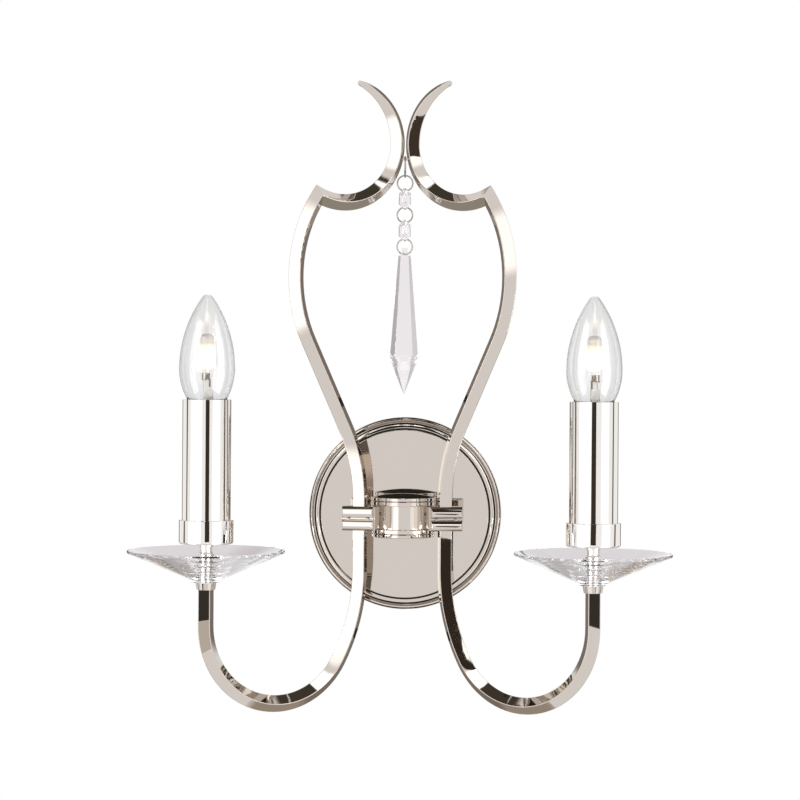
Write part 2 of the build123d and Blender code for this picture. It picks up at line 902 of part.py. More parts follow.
def chain_ring(number):
    """Ring that faces the viewer."""
    level = first_ring_level - number * ring_pitch
    return on_chain(Rot(90, 0, 0) * Torus(ring_bend, ring_wire), level)


def chain_bead(number):
    """Cut octagon bead, edge to the viewer, with a hole for the ring above and below."""
    level = first_ring_level - number * ring_pitch - ring_bend + hole_slack - bead_pitch / 2
    outline = RegularPolygon(bead_across / 2, 8, major_radius=False, rotation=22.5)
    crown = (bead_thickness - bead_girdle) / 2
    bead = extrude(outline, bead_girdle / 2, both=True)
    bead += Pos(0, 0, bead_girdle / 2) * extrude(outline, crown, taper=bead_slope)
    bead += Pos(0, 0, -bead_girdle / 2) * Rot(180, 0, 0) * extrude(outline, crown, taper=bead_slope)
    bead = Rot(0, 90, 0) * bead
    for side in (-1, 1):
        hole = along_arm(rod(bead_hole, -bead_thickness, bead_thickness))
        bead -= Pos(0, 0, side * bead_pitch / 2) * hole
    return on_chain(bead, level)


def drop_section(width, depth, level):
    """Long octagon, its widest side to the viewer."""
    half_width = width / 2
    half_depth = depth / 2
    face = half_width * drop_face
    edge = half_depth * drop_edge
    corners = [
        (face, half_depth),
        (half_width, edge),
        (half_width, -edge),
        (face, -half_depth),
        (-face, -half_depth),
        (-half_width, -edge),
        (-half_width, edge),
        (-face, half_depth),
    ]
    return Pos(0, 0, level) * make_face(Polyline(*corners, close=True))


def corner_cuts(level):
    """Planes of the kite facets on the eight corners of the drop's widest part."""
    half_width = drop_width / 2
    half_depth = drop_depth / 2
    face = half_width * drop_face
    edge = half_depth * drop_edge
    slant = degrees(atan2(half_width - face, half_depth - edge))
    lean = radians(drop_cut_lean)
    planes = []
    for x, y, turn in ((face, half_depth, (90 + slant) / 2), (half_width, edge, slant / 2)):
        for side in (-1, 1):
            for front in (-1, 1):
                out = Vector(side * cos(radians(turn)), front * sin(radians(turn)), 0)
                corner = Vector(side * x, front * y, level)
                facing = out * cos(lean) - Vector(0, 0, sin(lean))
                planes.append(Plane(origin=corner - out * drop_cut, z_dir=facing))
    return planes


drop_hole_level = first_ring_level - 2 * ring_pitch - ring_bend + hole_slack


def crystal_drop():
    """Cut spear: pierced lug, long flared body, kite facets and pyramid point."""
    hole_cover = bead_across / 2 - bead_pitch / 2
    lug_top = drop_hole_level + bead_hole + hole_cover * 2
    shoulder = lug_top - lug_height
    widest = lug_top - drop_length + drop_point_height
    top = drop_section(drop_top_width, drop_top_depth, shoulder)
    belly = drop_section(drop_width, drop_depth, widest)
    point = drop_section(point_width, point_width, lug_top - drop_length)
    body = loft([point, belly, top], ruled=True)
    for plane in corner_cuts(widest):
        body = split(body, bisect_by=plane, keep=Keep.BOTTOM)
    body += block(
        (-lug_width / 2, -lug_depth / 2, shoulder - lug_height), (lug_width / 2, lug_depth / 2, lug_top)
    )
    body -= Pos(0, 0, drop_hole_level) * along_arm(rod(bead_hole, -drop_width, drop_width))
    return on_chain(body, 0)


nodes = {
    "back_plate": back_plate(),
    "wall_bracket": wall_bracket(),
    "rim_screws": group(rim_screws()),
    "earth_screw": earth_screw(),
    "terminal_block": terminal_block(),
    "hub_stem": hub_stem(),
    "stem_nut": stem_nut(),
    "stem_collar": stem_collar(),
    "hub_body": at_hub(hub_body()),
    "hub_top_cap": at_hub(hub_top_cap()),
    "hub_bottom_cap": at_hub(hub_bottom_cap()),
    "hub_tie_screw": at_hub(hub_tie_screw()),
    "drop_pin": drop_pin(),
    "hook_ring": hook_ring(),
    "upper_ring": chain_ring(0),
    "upper_bead": chain_bead(0),
    "middle_ring": chain_ring(1),
    "lower_bead": chain_bead(1),
    "lower_ring": chain_ring(2),
    "crystal_drop": crystal_drop(),
}

slotted_clamp_screw = slotted(clamp_screw(), clamp_screw_head, -saddle_back, 1)
right_clamp_screws = [at_arm(screw) for screw in in_clamp(slotted_clamp_screw)]
right_saddle_screw = at_arm(saddle_screw())
nodes["clamp_screws"] = group(right_clamp_screws + [other_side(s) for s in right_clamp_screws])
nodes["saddle_screws"] = group([right_saddle_screw, other_side(right_saddle_screw)])

right_side = {
    "arm_saddle": at_arm(arm_saddle()),
    "clamp_strap": at_arm(clamp_strap()),
    "arm": at_arm(arm()),
    "crescent": at_arm(crescent()) - drop_pin(),
    "dish_seat": at_candle(dish_seat()),
    "glass_dish": at_candle(glass_dish()),
    "spindle": at_candle(spindle()),
    "candle_cup": at_candle(candle_cup()),
    "candle_tube": at_candle(candle_tube()),
    "holder_nipple": at_candle(holder_nipple()),
    "stack_nut": at_candle(stack_nut()),
    "lampholder": at_candle(lampholder()),
    "bulb_contact": at_candle(bulb_contact()),
    "bulb_cap": at_candle(bulb_cap()),
    "bulb_glass": at_candle(bulb_glass()),
    "bulb_mount": at_candle(bulb_mount()),
    "bulb_capsule": at_candle(bulb_capsule()),
    "lamp_lead": lamp_lead(),
}
for name, shape in right_side.items():
    nodes["right_" + name] = shape
    nodes["left_" + name] = other_side(shape)

os.makedirs("parts", exist_ok=True)
for name, shape in nodes.items():
    export_step(shape, f"parts/{name}.step")
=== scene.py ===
import json
import math
import bmesh
import bpy
from mathutils import Matrix, Vector


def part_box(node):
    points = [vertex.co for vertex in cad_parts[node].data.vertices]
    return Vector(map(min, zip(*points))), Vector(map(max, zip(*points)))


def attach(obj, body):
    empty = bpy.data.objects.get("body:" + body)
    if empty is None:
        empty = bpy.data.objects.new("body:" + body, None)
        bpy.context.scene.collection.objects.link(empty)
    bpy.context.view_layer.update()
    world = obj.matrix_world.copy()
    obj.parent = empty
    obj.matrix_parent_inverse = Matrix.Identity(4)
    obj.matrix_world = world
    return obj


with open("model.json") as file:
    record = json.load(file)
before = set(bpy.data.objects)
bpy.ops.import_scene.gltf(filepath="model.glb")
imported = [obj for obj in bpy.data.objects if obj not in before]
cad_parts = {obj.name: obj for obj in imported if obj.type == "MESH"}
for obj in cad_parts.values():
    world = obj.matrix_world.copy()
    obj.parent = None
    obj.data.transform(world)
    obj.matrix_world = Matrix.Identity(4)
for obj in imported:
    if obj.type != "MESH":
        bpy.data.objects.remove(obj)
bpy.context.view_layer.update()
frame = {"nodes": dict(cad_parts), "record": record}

nodes = frame["nodes"]
slotOf = {part["node"]: part["material_slot"] for part in frame["record"]["subparts"]}
print("frame loaded:", len(nodes), "nodes")


def linear(hexText):  # sRGB hex to linear colour
    parts = [int(hexText[i:i + 2], 16) / 255 for i in (1, 3, 5)]
    return [p / 12.92 if p <= 0.04045 else ((p + 0.055) / 1.055) ** 2.4 for p in parts] + [1.0]


def addNode(tree, kind, links=None, **settings):  # one node, its settings and what feeds it
    node = tree.nodes.new(kind)
    for name, value in settings.items():
        setattr(node, name, value)
    for name, value in (links or {}).items():
        if isinstance(value, bpy.types.NodeSocket):
            tree.links.new(value, node.inputs[name])
        else:
            node.inputs[name].default_value = value
    return node


def newMaterial(name):
    material = bpy.data.materials.new(name)
    material.use_nodes = True
    material.node_tree.nodes.clear()
    return material, material.node_tree


def perMetre(sizeMm):  # texture scale that repeats about every sizeMm
    return 1000.0 / sizeMm


# polished nickel plate: warm mirror, with the faint waviness that buffing leaves
plating = {"waveDetail": 1.0, "waveDepthMm": 0.4, "hazeDetail": 4.0, "hazeSpan": (0.35, 0.7)}


def platedNickel(name, look):
    material, tree = newMaterial(name)
    place = addNode(tree, "ShaderNodeTexCoord").outputs["Object"]
    buffing = addNode(tree, "ShaderNodeTexNoise", {
        "Vector": place, "Scale": perMetre(look["wavesMm"]), "Detail": plating["waveDetail"]})
    haze = addNode(tree, "ShaderNodeTexNoise", {
        "Vector": place, "Scale": perMetre(look["hazeMm"]), "Detail": plating["hazeDetail"]})
    (clear, milky), (smoothest, roughest) = plating["hazeSpan"], look["roughness"]
    rough = addNode(tree, "ShaderNodeMapRange", {
        "Value": haze.outputs["Fac"], "From Min": clear, "From Max": milky,
        "To Min": smoothest, "To Max": roughest})
    bump = addNode(tree, "ShaderNodeBump", {
        "Height": buffing.outputs["Fac"], "Strength": look["waviness"],
        "Distance": plating["waveDepthMm"] / 1000})
    shader = addNode(tree, "ShaderNodeBsdfPrincipled", {
        "Base Color": linear(look["colour"]), "Metallic": 1.0,
        "Roughness": rough.outputs["Result"], "Normal": bump.outputs["Normal"]})
    addNode(tree, "ShaderNodeOutputMaterial", {"Surface": shader.outputs["BSDF"]})
    return material


# clear glass: bright edges and full refraction, a trace of colour in thick places
rippleDepthMm = 0.4


def clearGlass(name, look):
    material, tree = newMaterial(name)
    place = addNode(tree, "ShaderNodeTexCoord").outputs["Object"]
    ripple = addNode(tree, "ShaderNodeTexNoise", {
        "Vector": place, "Scale": perMetre(look["rippleMm"]), "Detail": 0.0})
    bump = addNode(tree, "ShaderNodeBump", {
        "Height": ripple.outputs["Fac"], "Strength": look["ripple"], "Distance": rippleDepthMm / 1000})
    shader = addNode(tree, "ShaderNodeBsdfPrincipled", {
        "Base Color": linear(look["colour"]), "Roughness": look["roughness"], "IOR": look["ior"],
        "Transmission Weight": 1.0, "Normal": bump.outputs["Normal"]})
    addNode(tree, "ShaderNodeOutputMaterial", {"Surface": shader.outputs["BSDF"]})
    return material


# plain solid: plastic, ceramic or plated steel with a fine grain in gloss and colour
grainCut = {"detail": 5.0, "depthMm": 0.2}


def grainySolid(name, look):
    material, tree = newMaterial(name)
    place = addNode(tree, "ShaderNodeTexCoord").outputs["Object"]
    grain = addNode(tree, "ShaderNodeTexNoise", {
        "Vector": place, "Scale": perMetre(look["grainMm"]), "Detail": grainCut["detail"]})
    tone = addNode(tree, "ShaderNodeMix", {
        "Factor": grain.outputs["Fac"], "A": linear(look["colour"]), "B": linear(look["tint"])},
        data_type="RGBA")
    smoothest, roughest = look["roughness"]
    rough = addNode(tree, "ShaderNodeMapRange", {
        "Value": grain.outputs["Fac"], "To Min": smoothest, "To Max": roughest})
    bump = addNode(tree, "ShaderNodeBump", {
        "Height": grain.outputs["Fac"], "Strength": look["bump"], "Distance": grainCut["depthMm"] / 1000})
    shader = addNode(tree, "ShaderNodeBsdfPrincipled", {
        "Base Color": tone.outputs["Result"], "Metallic": look["metallic"],
        "Roughness": rough.outputs["Result"], "Normal": bump.outputs["Normal"]})
    addNode(tree, "ShaderNodeOutputMaterial", {"Surface": shader.outputs["BSDF"]})
    return material


# hot tungsten coil: an even yellow-white glow
def glowing(name, look):
    material, tree = newMaterial(name)
    place = addNode(tree, "ShaderNodeTexCoord").outputs["Object"]
    turnsLit = addNode(tree, "ShaderNodeTexNoise", {
        "Vector": place, "Scale": perMetre(look["spotMm"]), "Detail": 1.0})
    heat = addNode(tree, "ShaderNodeMix", {
        "Factor": turnsLit.outputs["Fac"], "A": linear(look["colour"]), "B": linear(look["tint"])},
        data_type="RGBA")
    shader = addNode(tree, "ShaderNodeEmission", {
        "Color": heat.outputs["Result"], "Strength": look["strength"]})
    addNode(tree, "ShaderNodeOutputMaterial", {"Surface": shader.outputs["Emission"]})
    return material


# quartz burner: clear, with a painted glow: the coil's light is painted as emission along its middle,
# white-hot fading to orange
def glowPaintedQuartz(name, look):
    material, tree = newMaterial(name)
    place = addNode(tree, "ShaderNodeTexCoord").outputs["Object"]
    height = addNode(tree, "ShaderNodeSeparateXYZ", {"Vector": place}).outputs["Z"]
    ripple = addNode(tree, "ShaderNodeTexNoise", {
        "Vector": place, "Scale": perMetre(look["rippleMm"]), "Detail": 2.0})
    foot, top = look["glowMm"]
    # painted glow: emission on the glass, graded by height between the glowMm levels
    share = addNode(tree, "ShaderNodeMapRange", {
        "Value": height, "From Min": foot / 1000, "From Max": top / 1000})
    ramp = addNode(tree, "ShaderNodeValToRGB", {"Fac": share.outputs["Result"]})
    ramp.color_ramp.elements.remove(ramp.color_ramp.elements[1])
    ramp.color_ramp.elements[0].color = linear("#000000")
    for spot, colour in look["ramp"]:
        ramp.color_ramp.elements.new(spot).color = linear(colour)
    bump = addNode(tree, "ShaderNodeBump", {
        "Height": ripple.outputs["Fac"], "Strength": look["ripple"], "Distance": rippleDepthMm / 1000})
    shader = addNode(tree, "ShaderNodeBsdfPrincipled", {
        "Base Color": linear(look["colour"]), "Roughness": look["roughness"], "IOR": look["ior"],
        "Transmission Weight": 1.0, "Emission Color": ramp.outputs["Color"],
        "Emission Strength": look["strength"], "Normal": bump.outputs["Normal"]})
    addNode(tree, "ShaderNodeOutputMaterial", {"Surface": shader.outputs["BSDF"]})
    return material


nickelLook = {"colour": "#D0C8C0", "roughness": (0.02, 0.05), "hazeMm": 6.0, "wavesMm": 30.0,
              "waviness": 0.05}
brightLook = {"colour": "#EDEAE6", "roughness": (0.02, 0.05), "hazeMm": 6.0, "wavesMm": 40.0,
              "waviness": 0.03}
wireLook = {"colour": "#BDB9B5", "roughness": (0.08, 0.14), "hazeMm": 1.0, "wavesMm": 2.0,
            "waviness": 0.05}
steelLook = {"colour": "#B9BABB", "tint": "#A3A4A6", "roughness": (0.28, 0.42), "grainMm": 0.8,
             "bump": 0.1, "metallic": 1.0}
capLook = {"colour": "#C9CACB", "tint": "#BBBCBD", "roughness": (0.22, 0.32), "grainMm": 0.8,
           "bump": 0.05, "metallic": 1.0}
solderLook = {"colour": "#A9A7A3", "tint": "#8F8C87", "roughness": (0.3, 0.45), "grainMm": 0.6,
              "bump": 0.15, "metallic": 1.0}
holderLook = {"colour": "#EDECE8", "tint": "#E4E2DC", "roughness": (0.3, 0.42), "grainMm": 1.2,
              "bump": 0.05, "metallic": 0.0}
blockLook = {"colour": "#ECEAE2", "tint": "#E0DDD2", "roughness": (0.45, 0.6), "grainMm": 1.0,
             "bump": 0.08, "metallic": 0.0}
ceramicLook = {"colour": "#F2F0EB", "tint": "#E6E3DC", "roughness": (0.35, 0.5), "grainMm": 0.7,
               "bump": 0.1, "metallic": 0.0}
sleeveLook = {"colour": "#E6E4DE", "tint": "#D8D5CD", "roughness": (0.4, 0.55), "grainMm": 1.5,
              "bump": 0.05, "metallic": 0.0}
dropLook = {"colour": "#F0ECEE", "roughness": 0.0, "ior": 1.56, "rippleMm": 30.0, "ripple": 0.0}
dishLook = {"colour": "#F2F1F3", "roughness": 0.0, "ior": 1.51, "rippleMm": 25.0, "ripple": 0.02}
bulbLook = {"colour": "#F1F1F1", "roughness": 0.0, "ior": 1.47, "rippleMm": 18.0, "ripple": 0.05}
# strength, glowMm and ramp set the quartz's painted glow: emission standing in for the coil's light
quartzLook = {"colour": "#F6F4F0", "roughness": 0.0, "ior": 1.46, "rippleMm": 3.0, "ripple": 0.2,
              "strength": 0.8, "glowMm": (93.6, 112.6),
              "ramp": ((0.08, "#000000"), (0.2, "#E8A868"), (0.36, "#FFF6DC"),
                       (0.62, "#FFF6DC"), (0.78, "#F0B070"), (0.95, "#000000"))}
coilLook = {"colour": "#FFF3D0", "tint": "#FFDE9C", "spotMm": 1.5, "strength": 3.0}
foilLook = {"colour": "#8A7460", "tint": "#6E5A48", "roughness": (0.3, 0.5), "grainMm": 0.7,
            "bump": 0.1, "metallic": 1.0}
leadWireLook = {"colour": "#8C7862", "tint": "#6B5A49", "roughness": (0.25, 0.4), "grainMm": 1.0,
                "bump": 0.05, "metallic": 1.0}

finishes = {
    "polished_nickel": platedNickel("polishedNickel", nickelLook),  # buffed plate: a warm mirror
    "bright_nickel": platedNickel("brightNickel", brightLook),  # plate on the turned pieces: whiter
    "chain_wire": platedNickel("platedWire", wireLook),  # drawn wire: greyer than the arms
    "zinc_steel": grainySolid("zincPlatedSteel", steelLook),  # pressed and turned: satin grey
    "cap_aluminium": grainySolid("drawnAluminium", capLook),  # drawn: pale and satin
    "contact_metal": grainySolid("tinSolder", solderLook),  # melted: dull grey
    "holder_plastic": grainySolid("mouldedPhenolic", holderLook),  # moulded: smooth off-white
    "block_plastic": grainySolid("mouldedNylon", blockLook),  # moulded: matt cream
    "bulb_ceramic": grainySolid("steatite", ceramicLook),  # pressed and fired: matt white
    "lead_insulation": grainySolid("siliconeSleeve", sleeveLook),  # extruded: soft white
    "drop_crystal": clearGlass("leadCrystal", dropLook),  # cut and polished: flat, sharp facets
    "dish_crystal": clearGlass("pressedGlass", dishLook),  # pressed and polished: hardly a ripple
    "bulb_glass": clearGlass("blownGlass", bulbLook),  # blown: thin, with slow ripples
    "lit_quartz": glowPaintedQuartz("quartz", quartzLook),  # drawn tube round the hot coil, with a painted glow
}

# the solids' loose triangles are joined and shaded smooth, but for their real edges
shading = {"mergeMm": 0.002, "edgeDeg": 24.0, "flatWeight": 100}


def smoothShading():
    group = bpy.data.node_groups.new("smoothByEdge", "GeometryNodeTree")
    group.interface.new_socket("Geometry", in_out="INPUT", socket_type="NodeSocketGeometry")
    group.interface.new_socket("Geometry", in_out="OUTPUT", socket_type="NodeSocketGeometry")
    shape = addNode(group, "NodeGroupInput").outputs["Geometry"]
    bare = addNode(group, "GeometryNodeRemoveAttribute", {"Geometry": shape, "Name": "custom_normal"})
    joined = addNode(group, "GeometryNodeMergeByDistance", {
        "Geometry": bare.outputs["Geometry"], "Distance": shading["mergeMm"] / 1000})
    smooth = addNode(group, "GeometryNodeSetShadeSmooth", {
        "Geometry": joined.outputs["Geometry"], "Shade Smooth": True})
    angle = addNode(group, "GeometryNodeInputMeshEdgeAngle").outputs["Unsigned Angle"]
    sharp = addNode(group, "FunctionNodeCompare", {
        "A": angle, "B": math.radians(shading["edgeDeg"])}, operation="GREATER_THAN")
    edged = addNode(group, "GeometryNodeSetShadeSmooth", {
        "Geometry": smooth.outputs["Geometry"], "Selection": sharp.outputs["Result"],
        "Shade Smooth": False}, domain="EDGE")
    addNode(group, "NodeGroupOutput", {"Geometry": edged.outputs["Geometry"]})
    return group


smoothGroup = smoothShading()
for name, node in nodes.items():
    for place in node.material_slots:
        place.material = finishes[slotOf[name]]
    node.modifiers.new("smooth", "NODES").node_group = smoothGroup
    flatten = node.modifiers.new("flatFaces", "WEIGHTED_NORMAL")  # flat beside the roundings too
    flatten.weight, flatten.keep_sharp = shading["flatWeight"], True
print("finishes on the solids:", len(finishes))

# inside each bulb: glowing coil, foil in the pinch, lead wires and the white collar they stand in
# heights are above the foot of the burner
burner = {
    "coilMm": (9.6, 20.6), "turns": 9, "stepsPerTurn": 20, "coilRadiusMm": 1.7,
    "wireRadiusMm": 0.36, "wireSides": 8,
    "foilMm": (3.4, 0.16, 4.2), "foilLevelMm": 2.5, "foilBevelMm": 0.05,
    "leadMm": (-12.6, 1.0), "leadRadiusMm": 0.62, "leadSpreadMm": 1.6, "leadSides": 16, "leadBevelMm": 0.15,
    "collarMm": (5.6, 4.0, 9.0), "collarLevelMm": -8.6, "collarShiftMm": 0.9, "collarBevelMm": 0.4,
    "bevelSteps": 2, "weldMm": 0.001,
}
coilMetal = glowing("hotTungsten", coilLook)
foilMetal = grainySolid("molybdenumFoil", foilLook)
leadMetal = grainySolid("nickelIronWire", leadWireLook)


def finishPiece(name, mesh, material, body):  # mesh to object, with its finish and its body
    bmesh.ops.remove_doubles(mesh, verts=mesh.verts, dist=burner["weldMm"] / 1000)
    bmesh.ops.recalc_face_normals(mesh, faces=mesh.faces)
    data = bpy.data.meshes.new(name)
    mesh.to_mesh(data)
    mesh.free()
    for face in data.polygons:
        face.use_smooth = True
    data.materials.append(material)
    piece = bpy.data.objects.new(name, data)
    bpy.context.scene.collection.objects.link(piece)
    piece.modifiers.new("smooth", "NODES").node_group = smoothGroup
    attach(piece, body)
    return piece


def mm(*values):
    return Vector(values) / 1000


def roundEdges(mesh, edges, bevelMm):
    bmesh.ops.bevel(mesh, geom=edges, offset=bevelMm / 1000, affect="EDGES", segments=burner["bevelSteps"],
                    profile=0.5, material=-1)


def bevelledBox(mesh, sizeMm, middle, bevelMm):
    place = Matrix.Translation(middle) @ Matrix.Diagonal((*mm(*sizeMm), 1.0))
    bmesh.ops.create_cube(mesh, size=1.0, matrix=place)
    roundEdges(mesh, mesh.edges[:], bevelMm)


for side in ("left", "right"):
    low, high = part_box(side + "_bulb_capsule")
    axis = Vector(((low[0] + high[0]) / 2, (low[1] + high[1]) / 2, low[2]))
    body = side + "_bulb"

    coil = bmesh.new()
    foot, top = burner["coilMm"]
    ring = Matrix.Translation(axis + mm(burner["coilRadiusMm"], 0, foot))
    ring = ring @ Matrix.Rotation(math.pi / 2, 4, "X")
    bmesh.ops.create_circle(coil, segments=burner["wireSides"], radius=burner["wireRadiusMm"] / 1000,
                            cap_ends=True, matrix=ring)
    rise = (top - foot) / 1000
    steps = burner["turns"] * burner["stepsPerTurn"]
    bmesh.ops.spin(coil, geom=coil.verts[:] + coil.edges[:] + coil.faces[:], cent=axis, axis=(0, 0, 1),
                   dvec=(0, 0, rise / steps), angle=2 * math.pi * burner["turns"], steps=steps)
    finishPiece(side + "Coil", coil, coilMetal, body)

    foil = bmesh.new()
    bevelledBox(foil, burner["foilMm"], axis + mm(0, 0, burner["foilLevelMm"]), burner["foilBevelMm"])
    finishPiece(side + "Foil", foil, foilMetal, body)

    leads = bmesh.new()
    for shift in (-1, 1):
        foot, top = burner["leadMm"]
        middle = axis + mm(shift * burner["leadSpreadMm"], 0, (foot + top) / 2)
        radius = burner["leadRadiusMm"] / 1000
        bmesh.ops.create_cone(leads, cap_ends=True, segments=burner["leadSides"],
                              radius1=radius, radius2=radius, depth=(top - foot) / 1000,
                              matrix=Matrix.Translation(middle))
    ends = [edge for edge in leads.edges if any(len(face.verts) > 4 for face in edge.link_faces)]
    roundEdges(leads, ends, burner["leadBevelMm"])
    finishPiece(side + "LeadWires", leads, leadMetal, body)

    collar = bmesh.new()
    middle = axis + mm(burner["collarShiftMm"], 0, burner["collarLevelMm"])
    bevelledBox(collar, burner["collarMm"], middle, burner["collarBevelMm"])
    finishPiece(side + "Collar", collar, finishes["bulb_ceramic"], body)
print("burners made")

# camera: the photograph's eye, a little to the right of the hub and above it
eye = {"hub": (0.0, -0.046, 0.0), "distance": 1.5, "height": 0.090, "yawDeg": 1.7, "rollDeg": 0.35,
       "focalPixels": 2296.0, "axisPixel": (404.0, 379.0), "imagePixels": 800.0, "sensorMm": 36.0,
       "clip": (0.05, 30.0)}
yaw, roll = math.radians(eye["yawDeg"]), math.radians(eye["rollDeg"])
frameSize = eye["imagePixels"]
axisX, axisY = eye["axisPixel"]
lens = bpy.data.cameras.new("camera")
lens.sensor_width = eye["sensorMm"]
lens.lens = eye["focalPixels"] / frameSize * eye["sensorMm"]
lens.shift_x, lens.shift_y = (frameSize / 2 - axisX) / frameSize, (axisY - frameSize / 2) / frameSize
lens.clip_start, lens.clip_end = eye["clip"]
camera = bpy.data.objects.new("camera", lens)
spot = Vector(eye["hub"]) + Vector((math.sin(yaw), -math.cos(yaw), 0)) * eye["distance"]
spot += Vector((0, 0, eye["height"]))
upright = Matrix.Rotation(yaw, 4, "Z") @ Matrix.Rotation(math.pi / 2, 4, "X")
camera.matrix_world = Matrix.Translation(spot) @ upright @ Matrix.Rotation(roll, 4, "Z")
bpy.context.scene.collection.objects.link(camera)
bpy.context.scene.camera = camera
print("camera set")

# studio: white to the camera; mirrors and glass also see its soft boxes and dark cloths
# the patches are in degrees round the light, across from straight ahead and up from level
studio = {"room": "#FFFFFF", "roomOnDull": 0.8, "floor": "#F4F3F0", "floorMiddle": (0.0, -0.3, -0.45),
          "floorRadius": 1.5, "floorSides": 96, "floorGlow": 0.85}
surround = {
    "leftBox": {"across": (-40, -19), "up": (-26, 42), "soft": 9, "colour": "#FFFFFF",
                "strength": 1.9, "seenIn": "both"},
    "leftWindow": {"across": (-76, -42), "up": (-40, 40), "soft": 5, "colour": "#FFFFFF",
                   "strength": 1.3, "seenIn": "both"},
    "rightBox": {"across": (14, 80), "up": (6, 38), "soft": 9, "colour": "#FFFFFF", "strength": 1.8,
                 "seenIn": "both"},
    "rightWindow": {"across": (32, 72), "up": (-40, 4), "soft": 5, "colour": "#FFFFFF",
                    "strength": 1.3, "seenIn": "both"},
    "leftShine": {"across": (-76, -42), "up": (-40, 40), "soft": 5, "colour": "#FFFFFF",
                  "strength": 6.0, "seenIn": "glass"},
    "rightShine": {"across": (32, 72), "up": (-40, 4), "soft": 5, "colour": "#FFFFFF",
                   "strength": 6.0, "seenIn": "glass"},
    "ceiling": {"across": (-200, 200), "up": (57, 100), "soft": 6, "colour": "#4A443C",
                "strength": 1.0, "seenIn": "metal"},
    "topBox": {"across": (-12, 12), "up": (46, 70), "soft": 5, "colour": "#FFFFFF", "strength": 3.0,
               "seenIn": "both"},
    "frontCloth": {"across": (-13, 13), "up": (4, 42), "soft": 4, "colour": "#33332E",
                   "strength": 1.0, "seenIn": "both"},
    "rightCloth": {"across": (95, 104), "up": (-42, 60), "soft": 4, "colour": "#5C5046",
                   "strength": 1.0, "seenIn": "both"},
    "leftCloth": {"across": (-104, -95), "up": (-42, 60), "soft": 4, "colour": "#5C5046",
                  "strength": 1.0, "seenIn": "both"},
    "underRight": {"across": (70, 178), "up": (-84, -22), "soft": 8, "colour": "#B0A699",
                   "strength": 1.0, "seenIn": "metal"},
    "underLeft": {"across": (-178, -70), "up": (-84, -22), "soft": 8, "colour": "#B0A699",
                  "strength": 1.0, "seenIn": "metal"},
    "backRight": {"across": (146, 166), "up": (-48, 48), "soft": 4, "colour": "#8A817A",
                  "strength": 1.0, "seenIn": "metal"},
    "backLeft": {"across": (-166, -144), "up": (-48, 48), "soft": 4, "colour": "#8A817A",
                 "strength": 1.0, "seenIn": "metal"},
    "tableRight": {"across": (125, 200), "up": (-42, -8), "soft": 8, "colour": "#D8D2D4",
                   "strength": 1.0, "seenIn": "glass"},
    "tableLeft": {"across": (-200, -125), "up": (-42, -8), "soft": 8, "colour": "#D8D2D4",
                  "strength": 1.0, "seenIn": "glass"},
    "sideRight": {"across": (126, 164), "up": (-55, 42), "soft": 8, "colour": "#BCB8B9",
                  "strength": 1.0, "seenIn": "glass"},
    "sideLeft": {"across": (-164, -126), "up": (-55, 42), "soft": 8, "colour": "#D2CFD0",
                 "strength": 1.0, "seenIn": "glass"},
}

world = bpy.data.worlds.new("studio")
bpy.context.scene.world = world
world.use_nodes = True
tree = world.node_tree
tree.nodes.clear()
path = addNode(tree, "ShaderNodeLightPath").outputs
glossy, through = path["Is Glossy Ray"], path["Is Transmission Ray"]
mirrored = addNode(tree, "ShaderNodeMath", {0: glossy, 1: through}, operation="MAXIMUM").outputs["Value"]
seen = addNode(tree, "ShaderNodeMath", {0: path["Is Camera Ray"], 1: mirrored}, operation="MAXIMUM")
onMetal = addNode(tree, "ShaderNodeMath", {0: glossy, 1: through}, operation="SUBTRACT", use_clamp=True)
seers = {"both": mirrored, "metal": onMetal.outputs["Value"], "glass": through}
strength = addNode(tree, "ShaderNodeMapRange", {
    "Value": seen.outputs["Value"], "To Min": studio["roomOnDull"], "To Max": 1.0})
way = addNode(tree, "ShaderNodeTexCoord").outputs["Generated"]
way = addNode(tree, "ShaderNodeSeparateXYZ", {"Vector": way}).outputs
ahead = addNode(tree, "ShaderNodeMath", {0: way["Y"], 1: -1.0}, operation="MULTIPLY")
across = addNode(tree, "ShaderNodeMath", {0: way["X"], 1: ahead.outputs["Value"]}, operation="ARCTAN2")
across = addNode(tree, "ShaderNodeMath", {0: across.outputs["Value"]}, operation="DEGREES")
across = across.outputs["Value"]
up = addNode(tree, "ShaderNodeMath", {0: way["Z"]}, operation="ARCSINE")
up = addNode(tree, "ShaderNodeMath", {0: up.outputs["Value"]}, operation="DEGREES").outputs["Value"]
light = addNode(tree, "ShaderNodeBackground", {
    "Color": linear(studio["room"]), "Strength": strength.outputs["Result"]}).outputs["Background"]
for name, look in surround.items():
    inside, half = seers[look["seenIn"]], look["soft"] / 2
    for value, edge, ease in ((across, look["across"][0], half), (across, look["across"][1], -half),
                              (up, look["up"][0], half), (up, look["up"][1], -half)):
        inside = addNode(tree, "ShaderNodeMapRange", {
            "Value": value, "From Min": edge - ease, "From Max": edge + ease, "To Max": inside},
            interpolation_type="SMOOTHSTEP").outputs["Result"]
    cloth = addNode(tree, "ShaderNodeBackground", {
        "Color": linear(look["colour"]), "Strength": look["strength"]}).outputs["Background"]
    light = addNode(tree, "ShaderNodeMixShader", {0: inside, 1: light, 2: cloth}).outputs["Shader"]
addNode(tree, "ShaderNodeOutputWorld", {"Surface": light})


def stagePlane(name, mesh, material):
    data = bpy.data.meshes.new(name)
    mesh.to_mesh(data)
    mesh.free()
    data.materials.append(material)
    plane = bpy.data.objects.new(name, data)
    bpy.context.scene.collection.objects.link(plane)
    return plane


